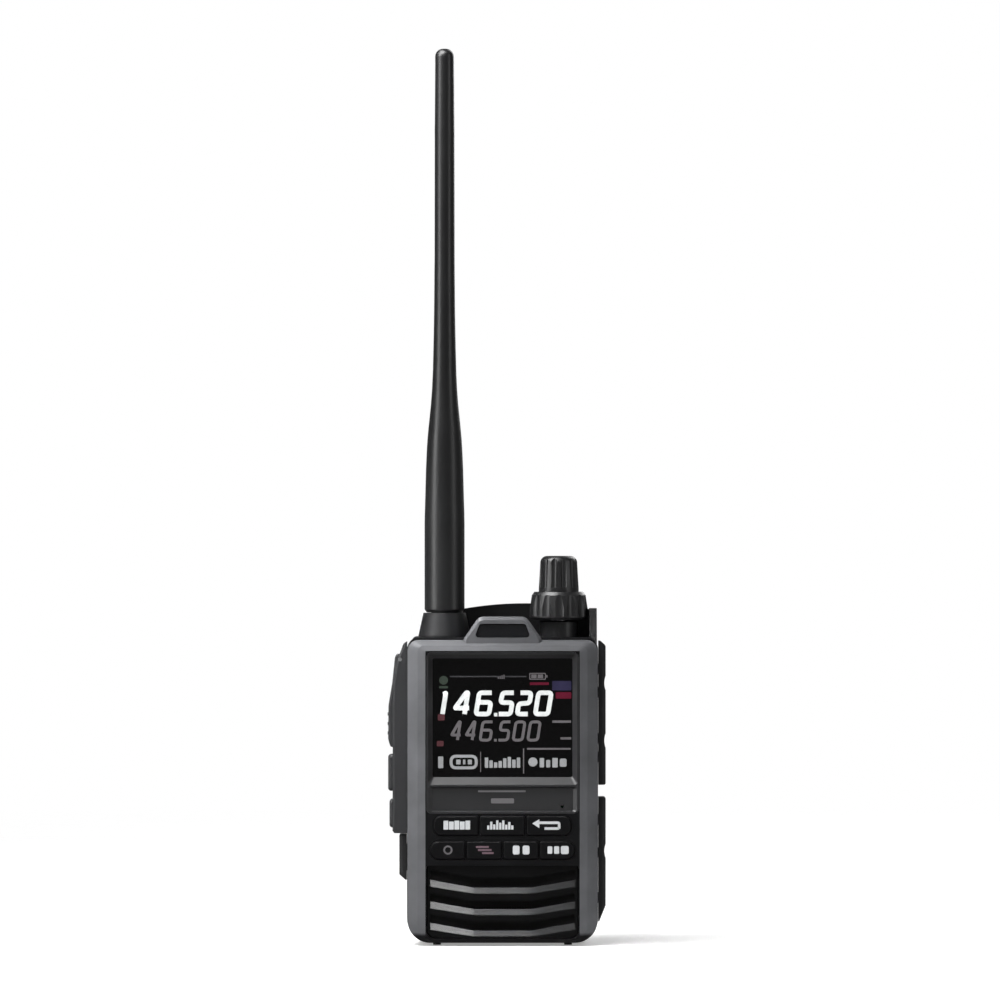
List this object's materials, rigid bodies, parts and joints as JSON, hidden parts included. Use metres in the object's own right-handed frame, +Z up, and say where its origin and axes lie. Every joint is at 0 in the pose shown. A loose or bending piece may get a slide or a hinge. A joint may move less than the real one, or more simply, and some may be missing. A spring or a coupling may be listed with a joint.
{
  "type": "handheld aviation radio",
  "caption": "Handheld airband radio with whip antenna, colour display, front keys, louvred speaker, side keys, rotary knobs, battery pack and belt clip.",
  "frame": {"origin": "middle of the footprint, on the surface that the feet stand on", "axes": "+Z up along the antenna, -Y out of the display, +X to the viewer's right"},
  "size_m": [0.0643, 0.0404, 0.2641],
  "materials": {
    "case_grey": "fine spark texture, satin",
    "case_black": "fine moulded texture",
    "bezel_black": "smooth satin",
    "key_black": "satin moulded rubber",
    "rubber_black": "matte moulded rubber",
    "antenna_rubber": "satin overmoulded sheath",
    "window_clear": "gloss hard-coated",
    "smoked_lens": "gloss smoked",
    "display_black": "gloss glass cell",
    "board_green": "solder mask",
    "steel_plated": "zinc plated",
    "brass_plated": "turned",
    "gold_contact": "gold plated",
    "cast_alloy": "as cast",
    "tinned_steel": "drawn and tinned",
    "cloth_black": "fine acoustic mesh",
    "cone_black": "pressed film",
    "seal_grey": "silicone",
    "cell_wrap": "shrink sleeve over cells",
    "spring_steel": "spring temper",
    "fibreglass_rod": "drawn rod"
  },
  "bodies": {
    "radio_body": {"front_case": "case_grey", "main_gasket": "seal_grey", "display_bezel": "bezel_black", "display_window": "window_clear", "lcd_module": "display_black", "status_lens": "smoked_lens", "keypad_mat": "seal_grey", "control_board": "board_green", "microphone": "tinned_steel", "speaker_grille": "case_black", "speaker_cloth": "cloth_black", "speaker_frame": "tinned_steel", "speaker_cone": "cone_black", "rear_case": "case_black", "case_screws": "steel_plated", "strap_pin": "steel_plated", "chassis": "cast_alloy", "main_board": "board_green", "shield_can": "tinned_steel", "headset_jack": "bezel_black", "power_jack": "bezel_black", "antenna_jack": "brass_plated", "encoder": "cast_alloy", "encoder_nut": "bezel_black", "side_key_bezel": "rubber_black", "ptt_pin": "steel_plated", "side_switches": "seal_grey", "vibration_motor": "tinned_steel", "battery_contacts": "gold_contact"},
    "antenna": {"antenna_contact": "gold_contact", "antenna_ferrule": "brass_plated", "antenna_core": "fibreglass_rod", "antenna_sheath": "antenna_rubber"},
    "dial": {"dial_knob": "rubber_black", "dial_shaft": "steel_plated"},
    "volume": {"volume_knob": "rubber_black", "volume_shaft": "steel_plated"},
    "band_key_cap": {"band_key": "key_black"},
    "scope_key_cap": {"scope_key": "key_black"},
    "back_key_cap": {"back_key": "key_black"},
    "function_key_cap": {"function_key": "key_black"},
    "menu_key_cap": {"menu_key": "key_black"},
    "receiver_key_cap": {"receiver_key": "key_black"},
    "mode_key_cap": {"mode_key": "key_black"},
    "ptt": {"ptt_lever": "rubber_black"},
    "monitor": {"monitor_key": "rubber_black"},
    "lock": {"lock_key": "rubber_black"},
    "upper_cover": {"upper_jack_cover": "rubber_black"},
    "lower_cover": {"lower_jack_cover": "rubber_black"},
    "card_door": {"card_cover": "rubber_black"},
    "battery_pack": {"battery_tray": "case_black", "battery_cover": "case_black", "battery_cells": "cell_wrap", "clip_bracket": "case_black", "clip_screws": "steel_plated", "clip_pin": "steel_plated", "clip_spring": "spring_steel"},
    "latch": {"battery_latch": "bezel_black"},
    "belt_clip": {"clip_arm": "case_black"},
    "motor_rotor": {"motor_weight": "cast_alloy"}
  },
  "joints": [
    {"name": "antenna_turn", "type": "hinge", "parent": "radio_body", "child": "antenna", "pos_m": [-0.0154, -0.0029, 0.1], "axis": [0, 0, 1], "range_deg": [0, 1800]},
    {"name": "dial_turn", "type": "hinge", "parent": "radio_body", "child": "dial", "pos_m": [0.0183, -0.0029, 0.109], "axis": [0, 0, 1], "continuous": true},
    {"name": "volume_turn", "type": "hinge", "parent": "radio_body", "child": "volume", "pos_m": [0.0183, -0.0029, 0.099], "axis": [0, 0, 1], "range_deg": [-135, 135]},
    {"name": "band_key_press", "type": "slide", "parent": "radio_body", "child": "band_key_cap", "axis": [0, 1, 0], "range_m": [0, 0.00035], "stiffness_N_per_m": 900},
    {"name": "scope_key_press", "type": "slide", "parent": "radio_body", "child": "scope_key_cap", "axis": [0, 1, 0], "range_m": [0, 0.00035], "stiffness_N_per_m": 900},
    {"name": "back_key_press", "type": "slide", "parent": "radio_body", "child": "back_key_cap", "axis": [0, 1, 0], "range_m": [0, 0.00035], "stiffness_N_per_m": 900},
    {"name": "function_key_press", "type": "slide", "parent": "radio_body", "child": "function_key_cap", "axis": [0, 1, 0], "range_m": [0, 0.00035], "stiffness_N_per_m": 900},
    {"name": "menu_key_press", "type": "slide", "parent": "radio_body", "child": "menu_key_cap", "axis": [0, 1, 0], "range_m": [0, 0.00035], "stiffness_N_per_m": 900},
    {"name": "receiver_key_press", "type": "slide", "parent": "radio_body", "child": "receiver_key_cap", "axis": [0, 1, 0], "range_m": [0, 0.00035], "stiffness_N_per_m": 900},
    {"name": "mode_key_press", "type": "slide", "parent": "radio_body", "child": "mode_key_cap", "axis": [0, 1, 0], "range_m": [0, 0.00035], "stiffness_N_per_m": 900},
    {"name": "ptt_press", "type": "hinge", "parent": "radio_body", "child": "ptt", "pos_m": [-0.0285, -0.0048, 0.084], "axis": [0, -1, 0], "range_deg": [0, 3], "stiffness_Nm_per_rad": 0.4},
    {"name": "monitor_press", "type": "slide", "parent": "radio_body", "child": "monitor", "axis": [1, 0, 0], "range_m": [0, 0.0006], "stiffness_N_per_m": 700},
    {"name": "lock_press", "type": "slide", "parent": "radio_body", "child": "lock", "axis": [1, 0, 0], "range_m": [0, 0.0006], "stiffness_N_per_m": 700},
    {"name": "upper_cover_open", "type": "hinge", "parent": "radio_body", "child": "upper_cover", "pos_m": [0.03105, -0.0007, 0.068], "axis": [0, 0, 1], "range_deg": [0, 110]},
    {"name": "lower_cover_open", "type": "hinge", "parent": "radio_body", "child": "lower_cover", "pos_m": [0.03105, -0.0007, 0.025], "axis": [0, 0, 1], "range_deg": [0, 110]},
    {"name": "card_door_open", "type": "hinge", "parent": "radio_body", "child": "card_door", "pos_m": [-0.02765, -0.0007, 0.0257], "axis": [0, 0, -1], "range_deg": [0, 110]},
    {"name": "battery_release", "type": "slide", "parent": "radio_body", "child": "battery_pack", "axis": [0, 1, 0], "range_m": [0, 0.025]},
    {"name": "latch_slide", "type": "slide", "parent": "radio_body", "child": "latch", "axis": [1, 0, 0], "range_m": [0, 0.003], "stiffness_N_per_m": 300},
    {"name": "clip_open", "type": "hinge", "parent": "battery_pack", "child": "belt_clip", "pos_m": [0.0017, 0.0165, 0.068], "axis": [1, 0, 0], "range_deg": [0, 16], "stiffness_Nm_per_rad": 0.4, "deforming": ["clip_spring"]},
    {"name": "motor_spin", "type": "hinge", "parent": "radio_body", "child": "motor_rotor", "pos_m": [-0.0063, -0.0047, 0.0084], "axis": [1, 0, 0], "continuous": true}
  ]
}
